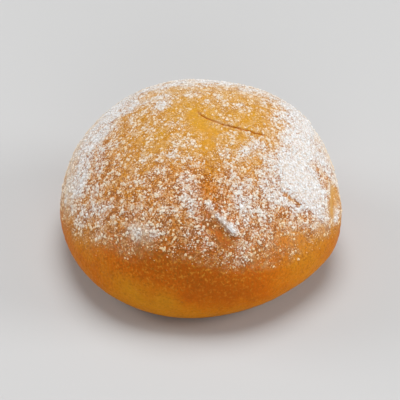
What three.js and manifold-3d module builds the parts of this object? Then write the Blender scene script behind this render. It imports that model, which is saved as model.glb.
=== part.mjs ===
// Soft bread roll: round, uncut, dusted with flour and baked on a flat tray.
//
// One solid: a dome over a low belly, a flank that turns in to a flat foot, and relief for the
// folds, hollows and the thin split that shaping and baking left in the crust.
// Millimetres, +Z up, origin in the middle of the flat foot. The front faces -Y.

import * as THREE from 'three';
import Module from 'manifold-3d';

const { clamp, degToRad, lerp, smoothstep } = THREE.MathUtils;

// Size of the roll.
const BELLY_RADIUS = 50; // at the widest ring
const BELLY_HEIGHT = 14.4; // of that ring above the tray
const ROLL_HEIGHT = 59;
const FLANK_DROP = 21.6; // from the belly to where the flank would close, below the tray
const DOME_POWER = 2.02; // 2 is an ellipse, and more is squarer
const FLANK_POWER = 2;
const BELLY_MIDDLE = new THREE.Vector3(-1.34, -0.34, BELLY_HEIGHT);
const TOP_LEAN = new THREE.Vector2(5.1, 4); // of the top, from over the belly's middle

// Facets.
const FACET = 2.4; // edge length on the crust
const FEWEST_FACETS = 6; // in the smallest ring
const FOOT_RINGS = [0.84, 0.62, 0.34]; // shares of the foot's radius, each with half the points

// Unevenness of a piece rolled by hand. Each row has a number of lobes round the roll, a share
// of the radius, the azimuth of one lobe in degrees, and the zone where the lobes show.
const LOBES = [
  { count: 2, share: 0.028, azimuth: -44, zone: 'whole' },
  { count: 3, share: 0.021, azimuth: 1, zone: 'whole' },
  { count: 4, share: 0.006, azimuth: -36, zone: 'whole' },
  { count: 1, share: 0.009, azimuth: 196, zone: 'shoulder' },
  { count: 2, share: 0.05, azimuth: 53, zone: 'shoulder' },
  { count: 3, share: 0.038, azimuth: 20, zone: 'shoulder' },
  { count: 1, share: 0.036, azimuth: 185, zone: 'flank' },
  { count: 2, share: 0.05, azimuth: 75, zone: 'flank' },
  { count: 3, share: 0.055, azimuth: 30, zone: 'flank' },
];

// How strongly a zone's lobes show at an elevation, seen from the belly's middle.
const ZONES = {
  whole: () => 1,
  shoulder: (elevation) => Math.sin(2 * Math.max(0, elevation)) ** 2,
  flank: (elevation) => Math.sin(clamp(-2.5 * elevation, 0, Math.PI / 2)) ** 2,
};

// Folds and hollows of the crust. Each one runs from start to end, bows to its left, spreads
// so far to its left and right, and fades out at both ends. A fold with one narrow side is
// steep there, and a hollow has a negative height.
const RELIEF = [
  // Fold low on the front, steep towards the hollow under it.
  { start: [14.0, -40.7, 34.8], end: [1.2, -33.8, 46.8], bow: 0.9, left: 1.1, right: 4.5, height: 1.3 },
  { start: [2.7, -39.8, 41.0], end: [11.6, -42.6, 33.2], bow: 0, left: 2.8, right: 2.6, height: -0.9 },
  // Shallow valley that runs from the fold up towards the top.
  { start: [3.9, -9.8, 56.9], end: [4.1, -35.8, 44.6], bow: 0.4, left: 3.4, right: 3.0, height: -0.5 },
  // Pinched fold on the right, with the hollow and the lip beside it.
  { start: [45.2, -4.9, 34.6], end: [44.5, -23.6, 21.0], bow: -2.8, left: 1.1, right: 4.0, height: 0.9 },
  { start: [46.4, -5.4, 32.4], end: [46.8, -15.4, 24.2], bow: 0, left: 2.2, right: 2.0, height: -0.8 },
  { start: [49.0, -9.8, 19.6], end: [46.4, -1.4, 34.0], bow: 0, left: 2.2, right: 2.2, height: 0.5 },
  // Small crease on the front right.
  { start: [36.4, -24.2, 34.0], end: [27.3, -22.6, 43.4], bow: -0.7, left: 0.9, right: 4.0, height: 0.5 },
  // Tucks over the right shoulder, which notch the outline.
  { start: [39.5, 21.2, 37.8], end: [38.5, -0.6, 45.3], bow: 0.4, left: 3.5, right: 0.9, height: -0.6 },
  { start: [43.4, 13.8, 33.8], end: [44.4, 2.0, 38.6], bow: 0, left: 2.6, right: 0.9, height: -0.35 },
  // Thick smear on the front left.
  { start: [-23.0, -36.6, 37.2], end: [-12.8, -42.5, 35.6], bow: 0, left: 2.4, right: 2.4, height: 0.35 },
  // Raised far lip of the split on top.
  { start: [-4.5, 2.6, 58.4], end: [24.0, -7.6, 54.2], bow: -3.2, left: 5.0, right: 0.7, height: 0.45 },
  // Broad swells on the far left shoulder and the left.
  { start: [-28.0, 18.0, 46.0], end: [2.0, 27.0, 52.0], bow: 0, left: 9.0, right: 9.0, height: 0.5 },
  { start: [-48.0, -6.0, 29.0], end: [-38.0, 21.0, 38.0], bow: 0, left: 8.0, right: 8.0, height: 0.6 },
  // Broad swell low on the right, over a broad hollow.
  { start: [39.0, -30.0, 20.0], end: [50.0, -2.0, 22.0], bow: 0, left: 7.0, right: 6.0, height: 0.7 },
  { start: [24.0, -43.0, 13.0], end: [48.0, -20.0, 13.0], bow: 0, left: 7.0, right: 7.0, height: -0.8 },
  // Tuck and broad hollow at the back.
  { start: [-24.0, 38.0, 32.0], end: [8.0, 45.6, 31.0], bow: 1.5, left: 1.3, right: 5.0, height: 0.8 },
  { start: [12.0, 42.0, 36.0], end: [28.0, 36.0, 33.0], bow: 0, left: 5.0, right: 5.0, height: -0.7 },
];
const RELIEF_DEPTH = 12; // how far into the roll a fold still counts as near
const FOOT_FADE = 8; // height above the tray over which the relief dies away

// Thin split across the top: a curve on the crust, cut by a tapering blade.
const SPLIT_START = new THREE.Vector3(-1.5, 0, 58.6);
const SPLIT_BEND = new THREE.Vector3(4.8, -8.9, 59.3);
const SPLIT_END = new THREE.Vector3(21.6, -7, 54.7);
const SPLIT_WIDTH = 1.0;
const SPLIT_DEPTH = 1.3;
const SPLIT_STATIONS = 16;
const BLADE_CLEARANCE = 1; // of the blade's back above the crust

const wasm = await Module();
wasm.setup();

// Plain distance from the belly's middle to the crust at an elevation.
function reach(elevation) {
  const power = elevation > 0 ? DOME_POWER : FLANK_POWER;
  const drop = elevation > 0 ? ROLL_HEIGHT - BELLY_HEIGHT : FLANK_DROP;
  const level = Math.cos(elevation) / BELLY_RADIUS;
  const upright = Math.abs(Math.sin(elevation)) / drop;
  return (level ** power + upright ** power) ** (-1 / power);
}

// How far the top's lean carries a point at a height.
function leanAt(height) {
  return TOP_LEAN.clone().multiplyScalar(clamp(height / ROLL_HEIGHT, 0, 1) ** 2);
}

// Point of the smooth crust at an azimuth and an elevation.
function smoothCrust(azimuth, elevation) {
  const swell = LOBES.reduce((sum, lobe) => {
    const turn = lobe.count * (azimuth - degToRad(lobe.azimuth));
    return sum + lobe.share * ZONES[lobe.zone](elevation) * Math.cos(turn);
  }, 1);
  const radius = reach(elevation) * Math.cos(elevation) * swell;
  const height = BELLY_HEIGHT + reach(elevation) * Math.sin(elevation);
  const lean = leanAt(height);
  return new THREE.Vector3(
    BELLY_MIDDLE.x + radius * Math.cos(azimuth) + lean.x,
    BELLY_MIDDLE.y + radius * Math.sin(azimuth) + lean.y,
    height,
  );
}

// Direction in which the crust faces at a point, away from the belly's middle.
function outwardAt(point) {
  return point.clone().sub(BELLY_MIDDLE).normalize();
}

// Height that one fold or hollow adds at a point of the smooth crust.
function foldHeight(fold, point) {
  const start = new THREE.Vector3(...fold.start);
  const end = new THREE.Vector3(...fold.end);
  const middle = start.clone().lerp(end, 0.5);
  const along = end.clone().sub(start).normalize();
  const across = outwardAt(middle).cross(along).normalize();
  const inward = across.clone().cross(along);
  const offset = point.clone().sub(start);
  const share = offset.dot(along) / start.distanceTo(end);
  const rise = clamp(4 * share * (1 - share), 0, 1);
  const side = offset.dot(across) - fold.bow * rise;
  const spread = side > 0 ? fold.left : fold.right;
  const near = Math.exp(-((side / spread) ** 2) - (offset.dot(inward) / RELIEF_DEPTH) ** 2);
  return fold.height * smoothstep(rise, 0, 1) * near;
}

// Point of the crust with its folds and hollows.
function crust(azimuth, elevation) {
  const point = smoothCrust(azimuth, elevation);
  const height = RELIEF.reduce((sum, fold) => sum + foldHeight(fold, point), 0);
  const fade = smoothstep(point.z, 0, FOOT_FADE);
  return point.addScaledVector(outwardAt(point), height * fade);
}

// Azimuth and elevation at which the belly's middle sees a point near the crust.
function aim(point) {
  const lean = leanAt(point.z);
  const x = point.x - BELLY_MIDDLE.x - lean.x;
  const y = point.y - BELLY_MIDDLE.y - lean.y;
  return { azimuth: Math.atan2(y, x), elevation: Math.atan2(point.z - BELLY_HEIGHT, Math.hypot(x, y)) };
}

// Half of the roll's plain outline, from the top at 0 down to the edge of the foot at 1.
const FOOT_SHARE = (1 - (BELLY_HEIGHT / FLANK_DROP) ** FLANK_POWER) ** (1 / FLANK_POWER);
const FOOT_ELEVATION = -Math.atan2(BELLY_HEIGHT, BELLY_RADIUS * FOOT_SHARE);

class Outline extends THREE.Curve {
  elevation(t) {
    return lerp(Math.PI / 2, FOOT_ELEVATION, t);
  }

  getPoint(t) {
    const elevation = this.elevation(t);
    return new THREE.Vector2(Math.cos(elevation), Math.sin(elevation)).multiplyScalar(reach(elevation));
  }
}

// Ring of points at even steps round one turn, each made by pointAt from its angle.
function ring(count, pointAt) {
  return Array.from({ length: count }, (_, i) => pointAt((2 * Math.PI * i) / count));
}

// Rings of the roll, from the top down the crust and then in across the foot.
function rollRings() {
  const outline = new Outline();
  const rowHeight = (FACET * Math.sqrt(3)) / 2;
  const rows = Math.round(outline.getLength() / rowHeight);
  const rings = [[crust(0, Math.PI / 2)]];
  for (let row = 1; row <= rows; row += 1) {
    const elevation = outline.elevation(outline.getUtoTmapping(row / rows));
    const girth = 2 * Math.PI * reach(elevation) * Math.cos(elevation);
    const count = Math.max(FEWEST_FACETS, Math.round(girth / FACET));
    rings.push(ring(count, (azimuth) => crust(azimuth, elevation)));
  }
  const footMiddle = BELLY_MIDDLE.clone().setZ(0);
  const edge = rings.at(-1);
  edge.forEach((point) => point.setZ(0));
  FOOT_RINGS.forEach((share, i) => {
    const count = Math.round(edge.length / 2 ** (i + 1));
    rings.push(ring(count, (azimuth) => crust(azimuth, FOOT_ELEVATION).setZ(0).lerp(footMiddle, 1 - share)));
  });
  rings.push([footMiddle]);
  return rings;
}

// Rings of the blade that cuts the split, each a diamond across the curve, between two tips.
function bladeRings() {
  const route = new THREE.QuadraticBezierCurve3(SPLIT_START, SPLIT_BEND, SPLIT_END);
  const rings = [];
  for (let station = 0; station <= SPLIT_STATIONS; station += 1) {
    const share = station / SPLIT_STATIONS;
    const { azimuth, elevation } = aim(route.getPoint(share));
    const middle = crust(azimuth, elevation);
    const outward = outwardAt(middle);
    const left = outward.clone().cross(route.getTangent(share)).normalize();
    const size = Math.sin(Math.PI * share) ** 0.5;
    const corner = (up, aside) => middle.clone().addScaledVector(outward, up).addScaledVector(left, aside);
    rings.push(
      station % SPLIT_STATIONS === 0
        ? [middle]
        : [
            corner(BLADE_CLEARANCE, 0),
            corner(0, (SPLIT_WIDTH / 2) * size),
            corner(-SPLIT_DEPTH * size, 0),
            corner(0, (-SPLIT_WIDTH / 2) * size),
          ],
    );
  }
  return rings;
}

// Closed solid over a row of rings. Seen from the first ring they turn anticlockwise, and the
// first and the last are single points. Neighbouring rings may differ in their count.
function solid(rings) {
  const vertices = [];
  const triangles = [];
  const firsts = rings.map((points) => {
    const first = vertices.length / 3;
    points.forEach((point) => vertices.push(...point.toArray()));
    return first;
  });
  for (let r = 0; r + 1 < rings.length; r += 1) {
    const upper = rings[r].length;
    const lower = rings[r + 1].length;
    const upperVertex = (i) => firsts[r] + (i % upper);
    const lowerVertex = (j) => firsts[r + 1] + (j % lower);
    const upperSteps = upper > 1 ? upper : 0;
    const lowerSteps = lower > 1 ? lower : 0;
    let i = 0;
    let j = 0;
    while (i < upperSteps || j < lowerSteps) {
      const stepLower = i === upperSteps || (j < lowerSteps && (j + 1) / lower <= (i + 1) / upper);
      const next = stepLower ? lowerVertex(j + 1) : upperVertex(i + 1);
      triangles.push(upperVertex(i), lowerVertex(j), next);
      if (stepLower) {
        j += 1;
      } else {
        i += 1;
      }
    }
  }
  return new wasm.Manifold(
    new wasm.Mesh({
      numProp: 3,
      vertProperties: new Float32Array(vertices),
      triVerts: new Uint32Array(triangles),
    }),
  );
}

// Golden brown crust, satin from the fat in the dough.
function crustMaterial() {
  return new THREE.MeshStandardMaterial({ color: '#c27a2c', roughness: 0.6, metalness: 0 });
}

// The whole roll: crust and crumb in one, with the split cut into its top.
function breadRoll() {
  const shape = solid(rollRings()).subtract(solid(bladeRings())).getMesh();
  const geometry = new THREE.BufferGeometry();
  geometry.setAttribute('position', new THREE.BufferAttribute(shape.vertProperties, shape.numProp));
  geometry.setIndex(new THREE.BufferAttribute(shape.triVerts, 1));
  geometry.computeVertexNormals();
  const roll = new THREE.Mesh(geometry, crustMaterial());
  roll.name = 'bread_roll';
  return roll;
}

const group = new THREE.Group();
group.add(breadRoll());

export default group;
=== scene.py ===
import math

import bmesh
import bpy
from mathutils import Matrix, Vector


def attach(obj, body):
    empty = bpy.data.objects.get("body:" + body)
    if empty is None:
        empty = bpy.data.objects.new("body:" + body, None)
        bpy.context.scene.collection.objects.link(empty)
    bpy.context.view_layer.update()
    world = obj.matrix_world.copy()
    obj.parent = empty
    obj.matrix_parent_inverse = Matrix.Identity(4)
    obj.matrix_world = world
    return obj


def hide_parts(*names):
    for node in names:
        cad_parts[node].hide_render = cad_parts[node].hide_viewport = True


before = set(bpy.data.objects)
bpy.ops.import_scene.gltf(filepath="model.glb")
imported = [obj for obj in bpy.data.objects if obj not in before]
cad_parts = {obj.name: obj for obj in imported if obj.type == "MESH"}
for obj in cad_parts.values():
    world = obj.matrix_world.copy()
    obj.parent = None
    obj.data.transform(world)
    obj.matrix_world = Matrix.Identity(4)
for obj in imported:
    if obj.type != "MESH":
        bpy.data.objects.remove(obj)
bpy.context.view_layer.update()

# The crust: one round of sweet white dough, proved and baked on a tray until it is golden brown.
# It swelled unevenly, so the round is lobed and leans a little. A fold, a pinch, some tucks
# and a thin split, where the skin tore as the dough rose, stand in its surface.
MM = 0.001

BELLY_RADIUS = 50 * MM
BELLY_MIDDLE = Vector((-1.34, -0.34, 14.4)) * MM
BELLY_HEIGHT = BELLY_MIDDLE.z
ROLL_HEIGHT = 59 * MM
FLANK_DROP = 21.6 * MM
DOME_POWER = 2.02
FLANK_POWER = 2.0
TOP_LEAN = Vector((5.1, 4.0, 0)) * MM
RELIEF_DEPTH = 12 * MM
FOOT_FADE = 8 * MM
FOOT_ROUND = 2.5 * MM

# unevenness of the skin: the size of its broad and fine waves, and how high each stands in it
UNEVENNESS = 0.16 * MM
BROAD_WAVE = 9 * MM
BROAD_RISE = 2.6
FINE_WAVE = 2.2 * MM
FINE_RISE = 1.9

# lobes round the roll, their share of the radius, azimuth of the first in degrees, and the zone:
# those of the shoulder are fullest 45 degrees up, and those of the flank 36 degrees down
SHOULDER_ELEVATION = math.radians(45)
FLANK_ELEVATION = math.radians(-36)
LOBES = (
    (2, 0.028, -44, "Whole"),
    (3, 0.021, 1, "Whole"),
    (4, 0.006, -36, "Whole"),
    (1, 0.009, 196, "Shoulder"),
    (2, 0.050, 53, "Shoulder"),
    (3, 0.038, 20, "Shoulder"),
    (1, 0.036, 185, "Flank"),
    (2, 0.050, 75, "Flank"),
    (3, 0.055, 30, "Flank"),
)

# name, start, end, bow to the left of the way, spread left and right of it, height; all in mm
FOLDS = (
    ("Fold low on the front", (14.0, -40.8, 35.2), (4.8, -37.2, 44.2), 0.8, 0.6, 2.8, 0.8),
    ("Thick end of the fold", (14.2, -40.9, 35.2), (8.4, -39.0, 40.6), 0.3, 0.9, 2.4, 0.45),
    ("Hollow under the fold", (3.2, -39.2, 41.8), (10.8, -42.2, 34.4), 0, 2.2, 2.2, -0.45),
    ("Valley down the front", (3.9, -9.8, 56.9), (4.1, -35.8, 44.6), 0.4, 3.4, 3.0, -0.5),
    ("Pinched fold", (45.2, -4.9, 34.6), (44.5, -23.6, 21.0), -2.8, 1.1, 4.0, 0.9),
    ("Hollow by the pinch", (46.4, -5.4, 32.4), (46.8, -15.4, 24.2), 0, 2.2, 2.0, -0.8),
    ("Lip by the pinch", (49.0, -9.8, 19.6), (46.4, -1.4, 34.0), 0, 2.2, 2.2, 0.5),
    ("Crease on the front right", (36.4, -24.2, 34.0), (27.3, -22.6, 43.4), -0.7, 0.9, 4.0, 0.5),
    ("Tuck at the outline", (39.5, 21.2, 37.8), (38.5, -0.6, 45.3), 0.4, 3.5, 0.9, -0.6),
    ("Second tuck", (43.4, 13.8, 33.8), (44.4, 2.0, 38.6), 0, 2.6, 0.9, -0.35),
    ("Smear on the front left", (-23.0, -36.6, 37.2), (-12.8, -42.5, 35.6), 0, 2.4, 2.4, 0.35),
    ("Far lip of the split", (-4.5, 2.6, 58.4), (24.0, -7.6, 54.2), -3.2, 4.0, 0.6, 0.25),
    ("Swell on the far left", (-28, 18, 46), (2, 27, 52), 0, 9, 9, 0.5),
    ("Swell on the left", (-48, -6, 29), (-38, 21, 38), 0, 8, 8, 0.6),
    ("Swell low on the right", (39, -30, 20), (50, -2, 22), 0, 7, 6, 0.7),
    ("Hollow low on the right", (24, -43, 13), (48, -20, 13), 0, 7, 7, -0.8),
    ("Tuck at the back", (-24, 38, 32), (8, 45.6, 31), 1.5, 1.3, 5, 0.8),
    ("Hollow at the back", (12, 42, 36), (28, 36, 33), 0, 5, 5, -0.7),
)

# the split: its start, bend and end, its cut, how it fades out at each end, and how it wavers
SPLIT = (
    Vector((-1.4, 1.6, 58.9)) * MM,
    Vector((4.0, -8.9, 59.4)) * MM,
    Vector((23.6, -7.5, 54.1)) * MM,
)
SPLIT_WIDTH = 0.26 * MM
SPLIT_DEPTH = 0.5 * MM
SPLIT_START_FADE = 2.6 * MM
SPLIT_END_FADE = 2.2 * MM
SPLIT_LEAST = 0.25
SPLIT_WAVE = 2.6 * MM
SPLIT_STRAY = 1.3 * MM
SPLIT_SIDEWAYS = (1.0, 0.2, 0.0)
SPLIT_STEPS = 48

# name, start, end, spread and strength of each patch of flour, in mm; a bare patch takes flour off
FLOUR_PATCHES = (
    ("Thick on the right", (31, -13, 45.5), (37, 11, 46.5), 8.5, 0.45),
    ("Low on the right", (40.5, -16, 36), (42, -21, 30), 4.0, 0.25),
    ("Right face", (34, -19, 41), (43, -5, 38), 8, 0.33),
    ("Far right shoulder", (32, 16, 47.0), (14, 23, 51.0), 6, 0.25),
    ("Left rim", (-42, -6, 34), (-34, 16, 43.6), 8, 0.32),
    ("Low on the left", (-40, -22, 31), (-34, -27, 35), 5, 0.18),
    ("Far rim", (-28, 22, 46), (4, 25, 52), 7, 0.34),
    ("Spot on the top left", (-14, 7, 56.4), (-12, 8, 56.4), 2.5, 0.30),
    ("Spot on the left shoulder", (-37, 5, 42), (-35, 6, 43), 3, 0.2),
    ("Bare top", (-5, 3, 58), (3, -8, 58), 6, -0.25),
    ("Bare round the split", (11, 2, 58), (18, -1, 56.6), 4.5, -0.18),
    ("Bare at the top of the valley", (4.0, -8.9, 57.7), (5.6, -13.5, 56.4), 3.0, -0.14),
    ("Bare valley", (2.4, -15, 55.6), (4.0, -31.5, 48), 2.6, -0.19),
    ("Bare left of the middle", (-8.4, -22.5, 52.8), (-8.8, -31.5, 48.6), 2.6, -0.15),
    ("Bare right of the valley", (8.6, -29.5, 48.8), (9.4, -29.8, 48.4), 2.6, -0.2),
    ("Bare beside the fold", (20.8, -35.6, 39), (21.6, -35.4, 38.6), 3.0, -0.2),
    ("Drift on the top right", (15.5, -14.4, 54.3), (20.7, -12.5, 53.4), 3.2, 0.15),
    ("Upper left", (-26.3, 14.1, 49.7), (-14.2, 11.6, 55.9), 4.0, 0.12),
    ("Bare right of the smear", (-11.0, -42.4, 37.2), (-8.0, -42.8, 37.6), 3.0, -0.15),
    ("Drift right of the valley", (9.2, -18.5, 54.6), (10.4, -22, 52.8), 2.6, 0.16),
    ("Spot on the right", (21.4, -26, 45.4), (22.4, -26.4, 44.8), 2.6, 0.2),
    ("Spot left of the fold", (-3.8, -37.6, 45.2), (-3.6, -38.2, 44.6), 2.0, 0.25),
    ("Thin on the left", (-22, -6, 52), (-18, -10, 54), 6, -0.12),
    ("Front right", (11, -28, 47), (20, -34, 40.5), 6, 0.18),
    ("Front left", (-6, -20, 54), (-6, -33, 47), 4, 0.14),
    ("Smear", (-21.4, -38.8, 36.2), (-18.8, -40.2, 36.0), 3.2, 0.14),
    ("Spot on the far top", (9, 4, 58), (13, 5, 58), 3.0, 0.2),
    ("Flakes below the fold", (8, -45.0, 30), (15, -44.5, 28), 2.5, 0.14),
    ("Along the fold", (11.6, -40.2, 38.0), (5.6, -37.9, 43.2), 1.2, 0.38),
    ("Tuft over the fold", (3.2, -36.2, 45.4), (2.8, -35.2, 46.2), 1.6, 0.28),
    ("Bare hollow", (4.2, -40.6, 40), (9.2, -42.6, 35), 2.2, -0.28),
    ("Bare crease", (29.0, -24.0, 41.4), (34.0, -24.2, 37), 0.9, -0.45),
    ("Round the crease", (30, -26, 39.5), (37, -23, 36), 4.0, 0.2),
    ("Bare low on the right", (29, -35.0, 30), (34, -32, 27), 3.5, -0.35),
    ("Bare lens", (46.6, -8.2, 30.8), (46.0, -15.5, 28.0), 2.8, -0.42),
    ("Bare over the pinch", (39.5, -7.0, 41.5), (43.8, -8.6, 35.6), 3.2, -0.3),
    ("Below the lens", (48.0, -13.0, 24.6), (46.6, -16.5, 24.4), 2.2, 0.2),
)
FLOUR_BASE = 0.42
FLOUR_PATCHINESS = 0.8
FLOUR_WAVE = 5 * MM

# name, start, end, spread and strength of each stretch of the finest dust, in mm; on the left side,
# the far side and the right limb the dust is partly painted sheen that whitens the crust near the
# outline
DUST_AND_SHEEN_PATCHES = (
    ("Left side", (-49, -4, 27), (-40, 22, 36), 8, 0.55),
    ("Far side", (-30, 31, 40), (32, 26, 40), 10, 0.8),
    ("Far top", (-22, 17, 54), (20, 16, 54), 7, 0.18),
    ("Right shoulder", (35, -12, 44), (40, 8, 43), 9, 0.3),
    ("Right limb", (48.5, 2, 29), (40, 16, 40), 5, 0.7),
    ("Edge of the pinch", (45.0, -8.0, 33.8), (44.4, -11.5, 33.4), 1.2, 0.7),
    ("Below the pinch", (48.6, -9.0, 25.6), (47.2, -15.0, 24.4), 2.0, 0.4),
    ("Thin in the valley", (2.4, -18, 55), (4.0, -34, 46), 3.0, -0.06),
    ("Thin over the pinch", (39.5, -7.0, 41.5), (43.8, -8.6, 35.6), 3.2, -0.2),
    ("Under the lens", (44.6, -20.5, 26.5), (43.0, -24.5, 25.5), 4.0, 0.25),
    ("On the lens", (46.4, -8.2, 31.0), (45.4, -15.5, 28.5), 2.6, 0.25),
    ("Along the fold", (11.4, -40.2, 38.2), (8.2, -39.0, 41.0), 1.1, 0.65),
    ("Upper end of the fold", (8.4, -39.0, 41.0), (3.4, -36.9, 44.4), 0.7, 0.5),
    ("Smear", (-21.4, -38.8, 36.2), (-18.8, -40.2, 36.0), 3.4, 0.44),
    ("Front left edge", (-43, -26, 24), (-22, -42, 30), 6, 0.12),
    ("Front right edge", (16, -44, 29), (34, -33, 28), 7, 0.06),
    ("Low on the right", (40.5, -16, 36), (42, -21, 30), 4.0, 0.25),
)
DUST_AND_SHEEN_BASE = 0.05
DUST_AND_SHEEN_MOST = 0.95

# the line where the flour ends: its height at the sides, its tilt down towards the front, how
# far it strays and over what length, and how far below and above it the flour thins out
FLOUR_LINE = 18 * MM
FLOUR_LINE_TILT = -0.30
FLOUR_LINE_STRAY = 12 * MM
FLOUR_LINE_WAVE = 7 * MM
FLOUR_LINE_BELOW = -6 * MM
FLOUR_LINE_ABOVE = 9 * MM

# name, start, end, spread and rise of each stretch where that line is shifted, in mm
FLOUR_LINE_SHIFTS = (
    ("Lower on the front right", (12, -43, 28), (30, -36, 25), 11, -6),
    ("Lower on the left", (-44, -20, 22), (-46, 4, 20), 11, -4),
    ("Lower on the right", (43, -24, 24), (48, -10, 22), 8, -3.5),
    ("Lower on the front left", (-38, -28, 24), (-26, -38, 26), 7, -2.5),
)

# heights where the bake starts and where it is full, then the name, start, end, spread and
# strength of each place that baked darker, or paler with a minus, in mm
UNBAKED_HEIGHT = 62 * MM
BAKED_HEIGHT = 26 * MM
BAKE_PATCHES = (
    ("Round the fold", (1.5, -37, 44), (9, -42.5, 36), 4.0, 0.8),
    ("Below the flour", (-20, -43, 29), (6, -46.5, 29), 5.5, 0.55),
    ("Centre", (-10, -28, 49), (6, -30, 48), 9, 0.4),
    ("Low on the front", (0, -49, 20), (13, -47, 18), 7, 0.5),
    ("Paler low on the left", (-24, -42, 14), (-10, -48, 12), 8, -0.6),
    ("Paler on the right", (36, -32, 22), (48, -8, 26), 13, -0.5),
    ("Paler on the left", (-40, -24, 26), (-46, 6, 28), 13, -0.45),
    ("Paler at the back", (-30, 36, 30), (30, 34, 30), 14, -0.3),
    ("Paler lens", (46.4, -7.2, 30.4), (45.6, -15.5, 28.5), 3.5, -0.4),
)


class Value:
    """A number or a vector in a node tree. Sums on it add the nodes that work them out."""

    def __init__(self, tree, socket):
        self.tree = tree
        self.socket = socket

    def is_vector(self):
        return self.socket.type == "VECTOR"

    def work(self, operation, *others):
        vectors = [not isinstance(other, Value) and hasattr(other, "__len__") for other in others]
        vectors += [isinstance(other, Value) and other.is_vector() for other in others]
        vector = self.is_vector() or any(vectors)
        kind = "ShaderNodeVectorMath" if vector else "ShaderNodeMath"
        node = self.tree.add(kind, operation=operation)
        sockets = [socket for socket in node.inputs if socket.enabled]
        for socket, value in zip(sockets, (self, *others)):
            self.tree.plug(value, socket)
        return Value(self.tree, next(socket for socket in node.outputs if socket.enabled))

    def __add__(self, other):
        return self.work("ADD", other)

    def __sub__(self, other):
        return self.work("SUBTRACT", other)

    def __rsub__(self, other):
        return (self * -1) + other

    def __mul__(self, other):
        number = not (isinstance(other, Value) and other.is_vector())
        return self.work("SCALE" if self.is_vector() and number else "MULTIPLY", other)

    def __truediv__(self, other):
        return self.work("DIVIDE", other)

    def __rtruediv__(self, other):
        return self.work("POWER", -1.0) * other

    def __pow__(self, other):
        return self.work("POWER", other)

    def part(self, axis):
        node = self.tree.add("ShaderNodeSeparateXYZ", {"Vector": self})
        return Value(self.tree, node.outputs[axis])

    def within(self, low, high):
        return self.work("MAXIMUM", low).work("MINIMUM", high)

    def smooth(self, low, high):
        """0 below low, 1 above high and an even S between them."""
        node = self.tree.add(
            "ShaderNodeMapRange",
            {"Value": self, "From Min": low, "From Max": high},
            interpolation_type="SMOOTHSTEP",
        )
        return Value(self.tree, node.outputs["Result"])


class Tree:
    """A node tree that is being built."""

    def __init__(self, nodes):
        self.nodes = nodes

    def add(self, kind, inputs=None, **settings):
        node = self.nodes.nodes.new(kind)
        for name, setting in settings.items():
            setattr(node, name, setting)
        for label, value in (inputs or {}).items():
            self.plug(value, node.inputs[label])
        return node

    def plug(self, value, socket):
        if isinstance(value, Value):
            self.nodes.links.new(value.socket, socket)
        else:
            socket.default_value = value

    def value(self, kind, output, inputs=None, **settings):
        return Value(self, self.add(kind, inputs, **settings).outputs[output])

    def vector(self, x, y, z):
        return self.value("ShaderNodeCombineXYZ", "Vector", {"X": x, "Y": y, "Z": z})

    def noise(self, position, size, detail=2.0, roughness=0.5):
        """An even unrest of features about that size, from about 0.25 to 0.75."""
        inputs = {"Vector": position, "Scale": 1 / size, "Detail": detail, "Roughness": roughness}
        return self.value("ShaderNodeTexNoise", 0, inputs)


class ShapeTree(Tree):
    """A Geometry Nodes tree, with named inputs and outputs."""

    KINDS = {
        type(None): "NodeSocketGeometry",
        int: "NodeSocketInt",
        float: "NodeSocketFloat",
        Vector: "NodeSocketVector",
    }

    def __init__(self, name, inputs, outputs):
        super().__init__(bpy.data.node_groups.new(name, "GeometryNodeTree"))
        self.sockets = {}
        for side, sockets in (("INPUT", inputs), ("OUTPUT", outputs)):
            for label, value in sockets.items():
                kind = self.KINDS[type(value)]
                socket = self.nodes.interface.new_socket(label, in_out=side, socket_type=kind)
                self.sockets[label] = socket
                if side == "INPUT" and value is not None:
                    socket.default_value = value
        self.start = self.add("NodeGroupInput")
        self.end = self.add("NodeGroupOutput")

    def __getitem__(self, label):
        return Value(self, self.start.outputs[label])

    def __setitem__(self, label, value):
        self.plug(value, self.end.inputs[label])

    def group(self, tree, label, output, inputs):
        """A copy of another tree in this one, under its own label."""
        node = self.add("GeometryNodeGroup", inputs, node_tree=tree.nodes)
        node.label = label
        return Value(self, node.outputs[output])

    def patches(self, tree, point, table, base, unit=1.0):
        """A base value that each patch of a table raises or lowers round its own line."""
        total = base
        for name, start, end, spread, strength in table:
            inputs = {
                "Point": point,
                "Start": Vector(start) * MM,
                "End": Vector(end) * MM,
                "Spread": spread * MM,
                "Strength": strength * unit,
            }
            total = self.group(tree, name, "Strength", inputs) + total
        return total

    def end_in(self, geometry, material):
        """Ends the tree in one real mesh of one material."""
        real = self.value("GeometryNodeRealizeInstances", "Geometry", {"Geometry": geometry})
        self["Geometry"] = self.value(
            "GeometryNodeSetMaterial", "Geometry", {"Geometry": real, "Material": material}
        )


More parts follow.
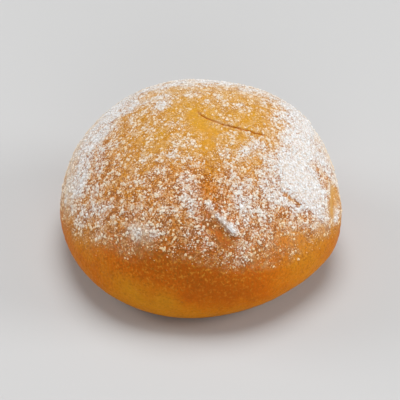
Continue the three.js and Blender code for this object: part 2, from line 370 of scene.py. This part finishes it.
def form_tree():
    """The smooth shape of the roll: the point of the crust that lies in a direction."""
    sizes = {
        "Direction": Vector((0, 0, 1)),
        "Belly radius": BELLY_RADIUS,
        "Belly middle": BELLY_MIDDLE,
        "Rise": ROLL_HEIGHT - BELLY_HEIGHT,
        "Roll height": ROLL_HEIGHT,
        "Flank drop": FLANK_DROP,
        "Dome power": DOME_POWER,
        "Flank power": FLANK_POWER,
        "Top lean": TOP_LEAN,
    }
    tree = ShapeTree("Roll form", sizes, {"Point": Vector()})
    x, y, z = (tree["Direction"].part(axis) for axis in "XYZ")
    level = (x * x + y * y).work("SQRT")
    azimuth = y.work("ARCTAN2", x)
    elevation = z.work("ARCTAN2", level)
    upper = z.work("GREATER_THAN", 0.0)
    lower = 1.0 - upper
    power = upper * tree["Dome power"] + lower * tree["Flank power"]
    drop = upper * tree["Rise"] + lower * tree["Flank drop"]
    across = (level / tree["Belly radius"]) ** power
    upright = (z.work("ABSOLUTE") / drop) ** power
    reach = (across + upright) ** (-1.0 / power)
    to_shoulder = math.pi / 2 / SHOULDER_ELEVATION
    to_flank = math.pi / 2 / FLANK_ELEVATION
    zones = {
        "Whole": 1.0,
        "Shoulder": (elevation * to_shoulder).work("MAXIMUM", 0.0).work("SINE") ** 2.0,
        "Flank": (elevation * to_flank).within(0.0, math.pi / 2).work("SINE") ** 2.0,
    }
    swell = 1.0
    for count, share, turn, zone in LOBES:
        wave = (azimuth * float(count) - count * math.radians(turn)).work("COSINE")
        swell = (wave * share) * zones[zone] + swell
    height = tree["Belly middle"].part("Z") + reach * z
    lean = (height / tree["Roll height"]).within(0.0, 1.0) ** 2.0
    flat = tree.vector(reach * x * swell, reach * y * swell, reach * z)
    tree["Point"] = tree["Belly middle"] + flat + tree["Top lean"] * lean
    return tree


def fold_tree():
    """The height that one fold or hollow adds at a point."""
    sizes = {
        "Point": Vector(),
        "Belly middle": BELLY_MIDDLE,
        "Start": Vector(),
        "End": Vector(),
        "Bow": 0.0,
        "Left": 1.0,
        "Right": 1.0,
        "Height": 0.0,
        "Depth": RELIEF_DEPTH,
    }
    tree = ShapeTree("Fold", sizes, {"Height": 0.0})
    way = tree["End"] - tree["Start"]
    middle = (tree["End"] + tree["Start"]) * 0.5
    along = way.work("NORMALIZE")
    outward = (middle - tree["Belly middle"]).work("NORMALIZE")
    across = outward.work("CROSS_PRODUCT", along).work("NORMALIZE")
    inward = across.work("CROSS_PRODUCT", along)
    offset = tree["Point"] - tree["Start"]
    share = offset.work("DOT_PRODUCT", along) / way.work("LENGTH")
    rise = (share * (1.0 - share) * 4.0).within(0.0, 1.0)
    side = offset.work("DOT_PRODUCT", across) - tree["Bow"] * rise
    left = side.work("GREATER_THAN", 0.0)
    spread = left * tree["Left"] + (1.0 - left) * tree["Right"]
    deep = offset.work("DOT_PRODUCT", inward) / tree["Depth"]
    near = ((side / spread) ** 2.0 + deep ** 2.0) * -1.0
    tree["Height"] = tree["Height"] * rise.smooth(0.0, 1.0) * near.work("EXPONENT")
    return tree


def patch_tree():
    """The strength of one patch of flour or bake at a point."""
    sizes = {
        "Point": Vector(),
        "Start": Vector(),
        "End": Vector(),
        "Spread": 1.0,
        "Strength": 0.0,
    }
    tree = ShapeTree("Patch", sizes, {"Strength": 0.0})
    way = tree["End"] - tree["Start"]
    offset = tree["Point"] - tree["Start"]
    share = offset.work("DOT_PRODUCT", way) / way.work("DOT_PRODUCT", way)
    nearest = tree["Start"] + way * share.within(0.0, 1.0)
    far = (tree["Point"] - nearest).work("LENGTH") / tree["Spread"]
    tree["Strength"] = tree["Strength"] * (far * far * -1.0).work("EXPONENT")
    return tree


def crust_tree(material):
    """Shapes a round of unit directions into the crust, and marks its flour and its split."""
    sizes = {
        "Geometry": None,
        "Belly radius": BELLY_RADIUS,
        "Roll height": ROLL_HEIGHT,
        "Foot fade": FOOT_FADE,
        "Foot round": FOOT_ROUND,
        "Split start": SPLIT[0],
        "Split bend": SPLIT[1],
        "Split end": SPLIT[2],
        "Split width": SPLIT_WIDTH,
        "Split depth": SPLIT_DEPTH,
        "Unevenness": UNEVENNESS,
        "Patchiness": FLOUR_PATCHINESS,
    }
    tree = ShapeTree("Crust", sizes, {"Geometry": None})
    form, fold, patch = form_tree(), fold_tree(), patch_tree()
    middle = BELLY_MIDDLE

    def on_crust(direction):
        inputs = {
            "Direction": direction,
            "Belly radius": tree["Belly radius"],
            "Roll height": tree["Roll height"],
            "Rise": tree["Roll height"] - BELLY_HEIGHT,
        }
        return tree.group(form, "Roll form", "Point", inputs)

    direction = tree.value("GeometryNodeInputPosition", "Position").work("NORMALIZE")
    smooth = on_crust(direction)

    # the foot: what would pass under the tray is drawn up to it, with a soft edge
    depth = smooth.part("Z")
    lifted = depth.work("SMOOTH_MAX", 0.0, tree["Foot round"])
    pull = (BELLY_HEIGHT - lifted) / (BELLY_HEIGHT - depth).work("MAXIMUM", 1 * MM)
    pull = pull.work("MINIMUM", 1.0)
    below = depth.work("LESS_THAN", BELLY_HEIGHT * 0.5)
    share = below * pull + (1.0 - below)
    rested = (smooth - middle) * share + middle

    outward = (rested - middle).work("NORMALIZE")
    height = 0.0
    for name, start, end, bow, left, right, rise in FOLDS:
        inputs = {
            "Point": smooth,
            "Start": Vector(start) * MM,
            "End": Vector(end) * MM,
            "Bow": bow * MM,
            "Left": left * MM,
            "Right": right * MM,
            "Height": rise * MM,
        }
        height = tree.group(fold, name, "Height", inputs) + height
    broad = tree.noise(rested, BROAD_WAVE) - 0.5
    fine = tree.noise(rested, FINE_WAVE) - 0.5
    height = height + (broad * BROAD_RISE + fine * FINE_RISE) * tree["Unevenness"]

    # the split: a tear along a curve on the crust, its edges not quite straight
    bezier = tree.value(
        "GeometryNodeCurveQuadraticBezier",
        "Curve",
        {
            "Resolution": SPLIT_STEPS,
            "Start": tree["Split start"],
            "Middle": tree["Split bend"],
            "End": tree["Split end"],
        },
    )
    spot = tree.value("GeometryNodeInputPosition", "Position")
    lean = (spot.part("Z") / ROLL_HEIGHT).within(0.0, 1.0) ** 2.0
    seen = spot - middle - tree.vector(lean * TOP_LEAN.x, lean * TOP_LEAN.y, 0.0)
    laid = tree.value(
        "GeometryNodeSetPosition",
        "Geometry",
        {"Geometry": bezier, "Position": on_crust(seen.work("NORMALIZE"))},
    )
    line = tree.value("GeometryNodeCurveToMesh", "Mesh", {"Curve": laid})
    wander = tree.noise(rested, SPLIT_WAVE, detail=3.0) - 0.5
    strayed = rested + outward.work("CROSS_PRODUCT", SPLIT_SIDEWAYS) * (wander * SPLIT_STRAY)
    far = tree.value(
        "GeometryNodeProximity",
        "Distance",
        {0: line, "Sample Position": strayed},
        target_element="EDGES",
    )
    ends = 1.0
    for end, spread in ((SPLIT[0], SPLIT_START_FADE), (SPLIT[2], SPLIT_END_FADE)):
        away = (rested - end).work("LENGTH")
        ends = away.smooth(0.0, spread) * ends
    across = far / tree["Split width"]
    gap = (across * across * -1.0).work("EXPONENT") * (ends * (1.0 - SPLIT_LEAST) + SPLIT_LEAST)
    height = height - gap * tree["Split depth"]

    fade = rested.part("Z").smooth(0.0, tree["Foot fade"])
    point = rested + outward * (height * fade)

    # flour: most of it fell from above, so it ends along a tilted line round the flank
    flour = tree.patches(patch, smooth, FLOUR_PATCHES, FLOUR_BASE)
    line_height = smooth.part("Y").work("MINIMUM", 0.0) * FLOUR_LINE_TILT + FLOUR_LINE
    line_height = tree.patches(patch, smooth, FLOUR_LINE_SHIFTS, line_height, MM)
    ragged = (tree.noise(smooth, FLOUR_LINE_WAVE, detail=3.0) - 0.5) * FLOUR_LINE_STRAY
    above_line = smooth.part("Z") - line_height + ragged
    reached = above_line.smooth(FLOUR_LINE_BELOW, FLOUR_LINE_ABOVE)
    patchy = (tree.noise(smooth, FLOUR_WAVE, detail=3.0) - 0.5) * tree["Patchiness"]
    flour = (flour + patchy).within(0.0, 1.0) * reached

    # the finest dust, which on the sides and the far side is partly painted sheen near the outline
    dust_and_sheen = tree.patches(patch, smooth, DUST_AND_SHEEN_PATCHES, DUST_AND_SHEEN_BASE)
    dust_and_sheen = (dust_and_sheen + patchy * dust_and_sheen).within(0.0, DUST_AND_SHEEN_MOST) * reached

    bake = smooth.part("Z").smooth(UNBAKED_HEIGHT, BAKED_HEIGHT)
    bake = tree.patches(patch, smooth, BAKE_PATCHES, bake)

    marked = tree["Geometry"]
    for name, value in (("flour", flour), ("dust_and_sheen", dust_and_sheen), ("split", gap), ("bake", bake)):
        marked = tree.value(
            "GeometryNodeStoreNamedAttribute",
            "Geometry",
            {"Geometry": marked, "Name": name, "Value": value},
            data_type="FLOAT",
            domain="POINT",
        )
    shaped = tree.value(
        "GeometryNodeSetPosition", "Geometry", {"Geometry": marked, "Position": point}
    )
    smoothed = tree.value("GeometryNodeSetShadeSmooth", "Geometry", {"Geometry": shaped})
    tree.end_in(smoothed, material)
    return tree


def aim(spot):
    """The direction in which the belly's middle sees a point near the crust, given in mm."""
    point = Vector(spot) * MM
    lean = min(max(point.z / ROLL_HEIGHT, 0), 1) ** 2
    return (point - BELLY_MIDDLE - TOP_LEAN * lean).normalized()


# the grid that the crust is shaped from: cells along each edge of a cube, and within how many
# degrees of a crease or of the split they are halved, one number for each time. A fold is a
# crease where it falls off within SHARP_SPREAD mm.
GRID_CELLS = 104
CREASE_REFINED = (3.0,)
SPLIT_REFINED = (3.0, 1.9, 1.3)
SHARP_SPREAD = 2.5
CREASE_SPOTS = 6
SPLIT_SPOTS = 40


def round_of_directions(name, count):
    """A closed ball of unit directions from a grid on a cube, finer where the crust is creased."""
    shell = bmesh.new()
    bmesh.ops.create_cube(shell, size=2)
    bmesh.ops.subdivide_edges(shell, edges=shell.edges[:], cuts=count - 1, use_grid_fill=True)
    for vert in shell.verts:
        vert.co = Vector([math.tan(math.pi / 4 * value) for value in vert.co]).normalized()

    def near(spots, angle):
        reach = math.cos(math.radians(angle))
        return [
            face
            for face in shell.faces
            if max(face.verts[0].co.dot(spot) for spot in spots) > reach
        ]

    def refine(spots, angle):
        edges = {edge for face in near(spots, angle) for edge in face.edges}
        bmesh.ops.subdivide_edges(shell, edges=list(edges), cuts=1, use_grid_fill=True)
        for vert in shell.verts:
            vert.co.normalize()

    start, bend, end = (point / MM for point in SPLIT)
    split = [
        aim(start * (1 - t) ** 2 + bend * 2 * t * (1 - t) + end * t**2)
        for t in (step / SPLIT_SPOTS for step in range(SPLIT_SPOTS + 1))
    ]
    creases = []
    for _, first, last, _, left, right, _ in FOLDS:
        if min(left, right) < SHARP_SPREAD:
            creases += [
                aim(Vector(first).lerp(Vector(last), step / CREASE_SPOTS))
                for step in range(CREASE_SPOTS + 1)
            ]
    for angle in CREASE_REFINED:
        refine(creases, angle)
    for angle in SPLIT_REFINED:
        refine(split, angle)
    bmesh.ops.triangulate(shell, faces=shell.faces[:])
    bmesh.ops.recalc_face_normals(shell, faces=shell.faces[:])
    mesh = bpy.data.meshes.new(name)
    shell.to_mesh(mesh)
    shell.free()
    return mesh


def made(name, mesh, tree, inputs):
    """Runs a tree on a mesh and returns the plain object that comes out of it."""
    raw = bpy.data.objects.new(name + " raw", mesh)
    bpy.context.scene.collection.objects.link(raw)
    modifier = raw.modifiers.new(name, "NODES")
    modifier.node_group = tree.nodes
    for label, value in inputs.items():
        modifier[tree.sockets[label].identifier] = value
    shown = raw.evaluated_get(bpy.context.evaluated_depsgraph_get())
    result = bpy.data.meshes.new_from_object(shown)
    result.name = name
    bpy.data.objects.remove(raw)
    piece = bpy.data.objects.new(name, result)
    bpy.context.scene.collection.objects.link(piece)
    return piece


def shader(name):
    """A new material, a tree to build it in, and its surface."""
    material = bpy.data.materials.new(name)
    material.use_nodes = True
    tree = Tree(material.node_tree)
    return material, tree, material.node_tree.nodes["Principled BSDF"]


def mix(tree, share, first, second):
    """One colour turning into another."""
    node = tree.add("ShaderNodeMix", data_type="RGBA")
    tree.plug(share, node.inputs["Factor"])
    colours = [socket for socket in node.inputs if socket.type == "RGBA"]
    for socket, colour in zip(colours, (first, second)):
        tree.plug(colour, socket)
    return Value(tree, next(socket for socket in node.outputs if socket.type == "RGBA"))


AMBER = (0.625, 0.305, 0.013, 1)
BROWN = (0.61, 0.134, 0.002, 1)
DEEP_BROWN = (0.40, 0.085, 0.002, 1)
PALE_BASE = (0.70, 0.265, 0.006, 1)
SOLE_BROWN = (0.42, 0.17, 0.030, 1)
TOASTED_LIGHT = (0.84, 0.40, 0.045, 1)
# painted shade deep in the split
SPLIT_SHADE_BROWN = (0.52, 0.125, 0.004, 1)
# painted shade for the pits between the grains of flour, also the colour of the real blotches
SHADE_AND_BLOTCH_BROWN = (0.27, 0.075, 0.004, 1)
# freckles: partly real dark spots, partly painted shade in the crevices of the skin
FRECKLE_AND_SHADE_BROWN = (0.30, 0.095, 0.004, 1)
FLOUR_WHITE = (0.80, 0.805, 0.815, 1)
FLOUR_TAN = (0.74, 0.56, 0.33, 1)
RUBBED_TAN = (0.68, 0.43, 0.19, 1)
# painted shade between the grains of the film of flour
FLOUR_PAINTED_SHADE = (0.52, 0.41, 0.30, 1)

# marks in the skin and its flour: their size, the detail and roughness of their noise, the
# level of it where they start and where they are full, and how strongly they show
SKIN_MARKS = {
    "Blotch": (2.4 * MM, 4.0, 0.6, 0.48, 0.70, 0.30),
    "Freckle": (0.8 * MM, 3.0, 0.5, 0.49, 0.66, 0.85),
    "Glow": (1.0 * MM, 4.0, 0.6, 0.50, 0.68, 0.52),
    "Rubbed": (2.2 * MM, 5.0, 0.65, 0.44, 0.62, 0.5),
    "Dull": (0.8 * MM, 3.0, 0.5, 0.62, 0.40, 0.7),
}

# sizes of the broad mottling, of the grains of flour, their drifts and clouds, and of the pores
MOTTLE_SIZE = 6 * MM
GRAIN_SIZE = 0.6 * MM
DRIFT_SIZE = 2.4 * MM
CLOUD_SIZE = 3.0 * MM
PORE_SIZE = 0.7 * MM
WRINKLE_SIZE = 1.8 * MM

# heights where the skin turns smooth and pale towards the tray, where the sole begins, and
# where the painted shade in the pits between the grains of flour starts to deepen
SMOOTH_BELOW = 10 * MM
COARSE_ABOVE = 32 * MM
PALE_ABOVE = 17 * MM
PALE_BELOW = 4 * MM
PALE_STRAY = 8 * MM
SOLE_ABOVE = 1.6 * MM
SOLE_BELOW = 0.1 * MM
SOLE_STRAY = 1.2 * MM
DEEPER_SHADE_BELOW = 28 * MM
DEEPER_SHADE_ABOVE = 42 * MM

# from where to where in the bake, the flour, the dust and painted sheen, the split or the grain
# a mark grows from nothing to its full strength
DEEP_BAKE = (0.6, 1.7)
FRECKLE_AND_SHADE_BAKE = (-0.1, 0.5)
SPLIT_SHADED = (0.15, 0.8)
SPLIT_CLEAN = (0.1, 0.6)
RUBBED_FLOUR = (0.03, 0.25)
FLOURED = (0.0, 0.3)
PIT_GRAIN = (0.57, 0.42)
PIT_BAKE = (0.05, 0.6)
DEEP_PIT_GRAIN = (0.50, 0.43)
DEEP_PIT_BAKE = (0.35, 0.85)
FILM_GRAIN = (0.46, 0.70)
THICK_FLOUR = (0.15, 0.8)
THICK_DUST_AND_SHEEN = (0.2, 0.8)

# height of the pores, the wrinkles and the film of flour in the bump, for each unit of theirs
PORE_DEPTH = 0.30 * MM
WRINKLE_DEPTH = 0.25 * MM
FILM_DEPTH = 0.08 * MM

CRUST_SHINE = 0.07
BARE_ROUGHNESS = 0.5
FILM_ROUGHER = 0.35


def crust_material():
    """Skin that browned unevenly, with pores, freckles, tan smears and a film of flour."""
    material, tree, surface = shader("Baked crust")
    place = tree.value("ShaderNodeTexCoord", "Object")
    flour, dust_and_sheen, split, bake = (
        tree.value("ShaderNodeAttribute", "Fac", attribute_name=name)
        for name in ("flour", "dust_and_sheen", "split", "bake")
    )
    height = place.part("Z")

    def marks(kind):
        size, detail, roughness, start, full, strength = SKIN_MARKS[kind]
        return tree.noise(place, size, detail, roughness).smooth(start, full) * strength

    # bake: amber on the crown, browner down the front, paler again near the tray
    mottle = tree.noise(place, MOTTLE_SIZE, detail=3.0) - 0.5
    brown = bake + mottle * 0.6
    colour = mix(tree, brown.within(0.0, 1.0), AMBER, BROWN)
    colour = mix(tree, brown.smooth(*DEEP_BAKE) * 0.8, colour, DEEP_BROWN)
    pale = (height + mottle * PALE_STRAY).smooth(PALE_ABOVE, PALE_BELOW)
    colour = mix(tree, pale * 0.75, colour, PALE_BASE)
    sole = (height + mottle * SOLE_STRAY).smooth(SOLE_ABOVE, SOLE_BELOW)
    colour = mix(tree, sole * 0.85, colour, SOLE_BROWN)
    colour = mix(tree, marks("Blotch"), colour, SHADE_AND_BLOTCH_BROWN)

    # freckles, partly real and partly painted shade in the skin's crevices, and glowing spots, both
    # fewer near the tray, and painted shade in the split
    rough = height.smooth(SMOOTH_BELOW, COARSE_ABOVE) * 0.75 + 0.25
    freckled_and_shaded = marks("Freckle") * rough * bake.smooth(*FRECKLE_AND_SHADE_BAKE)
    colour = mix(tree, freckled_and_shaded, colour, FRECKLE_AND_SHADE_BROWN)
    colour = mix(tree, marks("Glow") * rough, colour, TOASTED_LIGHT)
    colour = mix(tree, split.smooth(*SPLIT_SHADED) * 0.9, colour, SPLIT_SHADE_BROWN)

    # flour that was rubbed in leaves tan smears, and the pits between its grains get painted
    # shade, deeper high up where the crust is browner
    colour = mix(tree, marks("Rubbed") * flour.smooth(*RUBBED_FLOUR), colour, RUBBED_TAN)
    grain = tree.noise(place, GRAIN_SIZE) * 0.55 + tree.noise(place, DRIFT_SIZE, detail=3.0) * 0.45
    floured = flour.smooth(*FLOURED)
    dark = bake.smooth(*PIT_BAKE) * 0.34 + 0.16
    pit_shade = grain.smooth(*PIT_GRAIN) * (flour * 0.5 + floured * dark + 0.08)
    deeper_shade = bake.smooth(*DEEP_PIT_BAKE) * height.smooth(DEEPER_SHADE_BELOW, DEEPER_SHADE_ABOVE)
    deep = grain.smooth(*DEEP_PIT_GRAIN) * floured * (deeper_shade * 0.75 + 0.07)
    colour = mix(tree, (pit_shade + deep).within(0.0, 0.95), colour, SHADE_AND_BLOTCH_BROWN)

    # the finest flour lies as a film, tan where it is thin, with spots of painted shade between its
    # grains, and leaves the split bare
    film = (grain + flour * 0.5 - 0.23).smooth(*FILM_GRAIN) * 0.88
    cloud = tree.noise(place, CLOUD_SIZE, detail=3.0) * 0.9 + 0.5
    # the finest dust lies as a veil, partly painted sheen at the sides and the far side near the
    # outline
    veil_and_sheen = (dust_and_sheen * cloud).within(0.0, 0.97)
    film = (1.0 - (1.0 - film) * (1.0 - veil_and_sheen)) * (1.0 - split.smooth(*SPLIT_CLEAN))
    thick = flour.smooth(*THICK_FLOUR).work("MAXIMUM", dust_and_sheen.smooth(*THICK_DUST_AND_SHEEN))
    white = mix(tree, thick, FLOUR_TAN, FLOUR_WHITE)
    colour = mix(tree, film, colour, mix(tree, marks("Dull"), white, FLOUR_PAINTED_SHADE))
    tree.plug(colour, surface.inputs["Base Color"])
    tree.plug(film * FILM_ROUGHER + BARE_ROUGHNESS, surface.inputs["Roughness"])
    surface.inputs["Specular IOR Level"].default_value = CRUST_SHINE

    # bump: pores and wrinkles in the skin, and the film of flour that lies on it
    pores = tree.noise(place, PORE_SIZE) * PORE_DEPTH
    wrinkles = tree.noise(place, WRINKLE_SIZE) * WRINKLE_DEPTH
    relief = pores + wrinkles + film * FILM_DEPTH
    bump = {"Height": relief, "Strength": 1.0, "Distance": 1.0}
    tree.plug(tree.value("ShaderNodeBump", "Normal", bump), surface.inputs["Normal"])
    return material


directions = round_of_directions("directions", GRID_CELLS)
crust = made("crust", directions, crust_tree(crust_material()), {"Unevenness": UNEVENNESS})
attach(crust, "root")
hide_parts("bread_roll")


# The flour: fine wheat flour shaken over the roll after baking. It lies as loose specks and as
# larger clumps, thick on the right shoulder and thin on the crown, and doesn't reach the base.
# the greyer spots on the lumps are painted shade between the grains
LUMP_SHADE_GREY = (0.64, 0.62, 0.60, 1)
LUMP_WHITE = (0.86, 0.865, 0.875, 1)
LUMP_TAN = (0.78, 0.575, 0.33, 1)
SHADE_SIZE = 0.6 * MM
SHADE_NOISE = (0.35, 0.65)
FLOUR_ROUGHNESS = 0.95
FLOUR_SHINE = 0.15


def flour_material():
    """White lumps with greyer spots of painted shade, and tan where the flour lies thin."""
    material, tree, surface = shader("Wheat flour")
    place = tree.value("ShaderNodeTexCoord", "Object")
    shade = tree.noise(place, SHADE_SIZE)
    white = mix(tree, shade.smooth(*SHADE_NOISE), LUMP_SHADE_GREY, LUMP_WHITE)
    flour = tree.value("ShaderNodeAttribute", "Fac", attribute_name="flour")
    colour = mix(tree, flour.smooth(*THICK_FLOUR), LUMP_TAN, white)
    tree.plug(colour, surface.inputs["Base Color"])
    surface.inputs["Roughness"].default_value = FLOUR_ROUGHNESS
    surface.inputs["Specular IOR Level"].default_value = FLOUR_SHINE
    return material


# where the flour starts to clump and where it clumps most, by noise and by mark, where it is
# so thick that it lies as a film instead, and where it leaves the split clear
CLUMPED_NOISE = (0.52, 0.86)
CLUMPED_FLOUR = (0.0, 0.25)
EVEN_FLOUR = (0.0, 0.1)
FILMED_FLOUR = (0.6, 0.95)
CLEAR_SPLIT = (0.006, 0.001)

# lumps: how many shapes there are, how they are dented, and how much likelier the small ones are
LUMP_SHAPES = 4
DENT_SCALE = 1.6
DENT_DEPTH = 1.1
SMALL_BIAS = 1.4
SIZE_SEED = 5
TURN_SEED = 9


def flour_tree(material):
    """Strews rough lumps over the crust, thicker where its flour mark is stronger."""
    sizes = {
        "Geometry": None,
        "Segments": 5,
        "Rings": 3,
        "Most per square metre": 1.0e6,
        "Smallest": 0.3 * MM,
        "Largest": 0.6 * MM,
        "Flatness": 0.55,
        "Cluster size": 1.8 * MM,
        "Less in thick flour": 0.5,
        "Share strewn evenly": 0.05,
        "Flour needed": 0.3,
        "Seed": 1,
    }
    tree = ShapeTree("Strewn flour", sizes, {"Geometry": None})
    place = tree.value("GeometryNodeInputPosition", "Position")
    flour, split = (
        tree.value(
            "GeometryNodeInputNamedAttribute", "Attribute", {"Name": mark}, data_type="FLOAT"
        )
        for mark in ("flour", "split")
    )
    unrest = tree.noise(place, tree["Cluster size"])
    often = (unrest + flour * 0.35).smooth(*CLUMPED_NOISE) * flour.smooth(*CLUMPED_FLOUR)
    often = often + flour.smooth(*EVEN_FLOUR) * tree["Share strewn evenly"]
    often = often * (1.0 - flour.smooth(*FILMED_FLOUR) * tree["Less in thick flour"])
    often = often * split.smooth(*CLEAR_SPLIT) * flour.smooth(0.0, tree["Flour needed"])
    scatter = tree.add(
        "GeometryNodeDistributePointsOnFaces",
        {
            "Mesh": tree["Geometry"],
            "Density": often * tree["Most per square metre"],
            "Seed": tree["Seed"],
        },
        distribute_method="RANDOM",
    )
    shapes = tree.add("GeometryNodeGeometryToInstance")
    for number in range(LUMP_SHAPES):
        ball = tree.value(
            "GeometryNodeMeshUVSphere",
            "Mesh",
            {"Segments": tree["Segments"], "Rings": tree["Rings"], "Radius": 0.5},
        )
        spot = tree.value("GeometryNodeInputPosition", "Position")
        apart = spot + (7.3 * number, 1.7, 4.1)
        dent = tree.value("ShaderNodeTexNoise", "Color", {"Vector": apart, "Scale": DENT_SCALE})
        push = (dent - (0.5, 0.5, 0.5)) * DENT_DEPTH
        lump = tree.value("GeometryNodeSetPosition", "Geometry", {"Geometry": ball, "Offset": push})
        tree.nodes.links.new(lump.socket, shapes.inputs[0])
    share = tree.value(
        "FunctionNodeRandomValue",
        "Value",
        {"Min": 0.0, "Max": 1.0, "Seed": SIZE_SEED},
        data_type="FLOAT",
    )
    size = tree["Smallest"] + (tree["Largest"] - tree["Smallest"]) * share ** SMALL_BIAS
    scale = tree.vector(size, size, size * tree["Flatness"])
    strewn = tree.value(
        "GeometryNodeInstanceOnPoints",
        "Instances",
        {
            "Points": Value(tree, scatter.outputs["Points"]),
            "Instance": Value(tree, shapes.outputs[0]),
            "Pick Instance": True,
            "Rotation": Value(tree, scatter.outputs["Rotation"]),
            "Scale": scale,
        },
    )
    turn = tree.value(
        "FunctionNodeRandomValue",
        "Value",
        {"Min": 0.0, "Max": 2 * math.pi, "Seed": TURN_SEED},
        data_type="FLOAT",
    )
    strewn = tree.value(
        "GeometryNodeRotateInstances",
        "Instances",
        {"Instances": strewn, "Rotation": tree.vector(0.0, 0.0, turn)},
    )
    tree.end_in(strewn, material)
    return tree


CLUMPS = {
    "Segments": 5,
    "Rings": 3,
    "Most per square metre": 1.3e6,
    "Smallest": 0.5 * MM,
    "Largest": 1.35 * MM,
    "Flatness": 0.55,
    "Flour needed": 0.6,
    "Seed": 3,
}
SPECKS = {
    "Segments": 4,
    "Rings": 2,
    "Most per square metre": 2.6e6,
    "Smallest": 0.25 * MM,
    "Largest": 0.55 * MM,
    "Flatness": 0.6,
    "Share strewn evenly": 0.2,
    "Seed": 8,
}

strewn_flour = flour_tree(flour_material())
for name, sizes in (("flour_clumps", CLUMPS), ("flour_specks", SPECKS)):
    piece = made(name, crust.data.copy(), strewn_flour, sizes)
    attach(piece, "root")


# The studio: a plain pale table under one wide even ceiling light, with three softer lights at
# the sides and in front. The camera looks down on the roll from the front, as in the photograph.
TABLE_SIZE = 20.0
TABLE_DROP = 0.03 * MM
TABLE_GREY = (0.52, 0.52, 0.52, 1)
TABLE_ROUGHNESS = 0.9
TABLE_SHINE = 0.05
AIR_WHITE = (1, 1, 1, 1)
AIR_STRENGTH = 0.18

table_mesh = bpy.data.meshes.new("table")
half = TABLE_SIZE / 2
corners = ((-half, -half), (half, -half), (half, half), (-half, half))
table_mesh.from_pydata([(x, y, -TABLE_DROP) for x, y in corners], [], [(0, 1, 2, 3)])
table = bpy.data.objects.new("table", table_mesh)
bpy.context.scene.collection.objects.link(table)
table_paint, _, surface = shader("Pale table")
surface.inputs["Base Color"].default_value = TABLE_GREY
surface.inputs["Roughness"].default_value = TABLE_ROUGHNESS
surface.inputs["Specular IOR Level"].default_value = TABLE_SHINE
table_mesh.materials.append(table_paint)

world = bpy.data.worlds.new("Studio")
bpy.context.scene.world = world
world.use_nodes = True
world.node_tree.nodes["Background"].inputs["Color"].default_value = AIR_WHITE
world.node_tree.nodes["Background"].inputs["Strength"].default_value = AIR_STRENGTH

# the ceiling is one wide even light, so that the table stays pale far from the roll
CEILING_POWER = 2.25
CEILING_SPREAD = math.radians(38)
CEILING_DIRECTION = Vector((0.05, 0.20, 0.9))

ceiling = bpy.data.lights.new("Ceiling", "SUN")
ceiling.energy = CEILING_POWER
ceiling.angle = CEILING_SPREAD
ceiling_holder = bpy.data.objects.new("Ceiling", ceiling)
ceiling_holder.rotation_euler = CEILING_DIRECTION.to_track_quat("Z", "Y").to_euler()
bpy.context.scene.collection.objects.link(ceiling_holder)

# name, place, width, height and power of each soft light, and the spot that all of them face
SOFT_LIGHTS = (
    ("Right", Vector((1.5, -0.16, 0.69)), 0.8, 0.8, 13.2),
    ("Left", Vector((-1.4, 0.30, 0.77)), 0.8, 0.8, 9.2),
    ("Front", Vector((0.2, -2.0, 0.67)), 1.2, 0.8, 12.8),
)
LIT_SPOT = Vector((0, 0, 0.03))

for name, place, width, height, power in SOFT_LIGHTS:
    lamp = bpy.data.lights.new(name, "AREA")
    lamp.shape = "RECTANGLE"
    lamp.size = width
    lamp.size_y = height
    lamp.energy = power
    holder = bpy.data.objects.new(name, lamp)
    holder.location = place
    holder.rotation_euler = (LIT_SPOT - place).to_track_quat("-Z", "Y").to_euler()
    bpy.context.scene.collection.objects.link(holder)

# the camera: how high it looks down from, how far it stands, and what it is aimed at, from the
# middle of the foot
CAMERA_RISE = math.radians(38.5)
CAMERA_DISTANCE = 0.930
SENSOR_WIDTH = 36
CAMERA_LENS = 232.4
CAMERA_NEAR = 0.05
CAMERA_FAR = 20
AIMED_ABOVE = 16.56 * MM
AIMED_RIGHT = 1.33 * MM

view_from = Vector((0, -math.cos(CAMERA_RISE), math.sin(CAMERA_RISE)))
camera_up = Vector((0, math.sin(CAMERA_RISE), math.cos(CAMERA_RISE)))
foot_middle = Vector((BELLY_MIDDLE.x, BELLY_MIDDLE.y, 0))
camera_data = bpy.data.cameras.new("Camera")
camera = bpy.data.objects.new("Camera", camera_data)
bpy.context.scene.collection.objects.link(camera)
bpy.context.scene.camera = camera
camera_data.sensor_width = SENSOR_WIDTH
camera_data.lens = CAMERA_LENS
camera_data.clip_start = CAMERA_NEAR
camera_data.clip_end = CAMERA_FAR
camera.location = foot_middle + view_from * CAMERA_DISTANCE
aimed_at = foot_middle + camera_up * AIMED_ABOVE + Vector((AIMED_RIGHT, 0, 0))
camera.rotation_euler = (aimed_at - camera.location).to_track_quat("-Z", "Y").to_euler()

bpy.context.scene.view_settings.view_transform = "Standard"
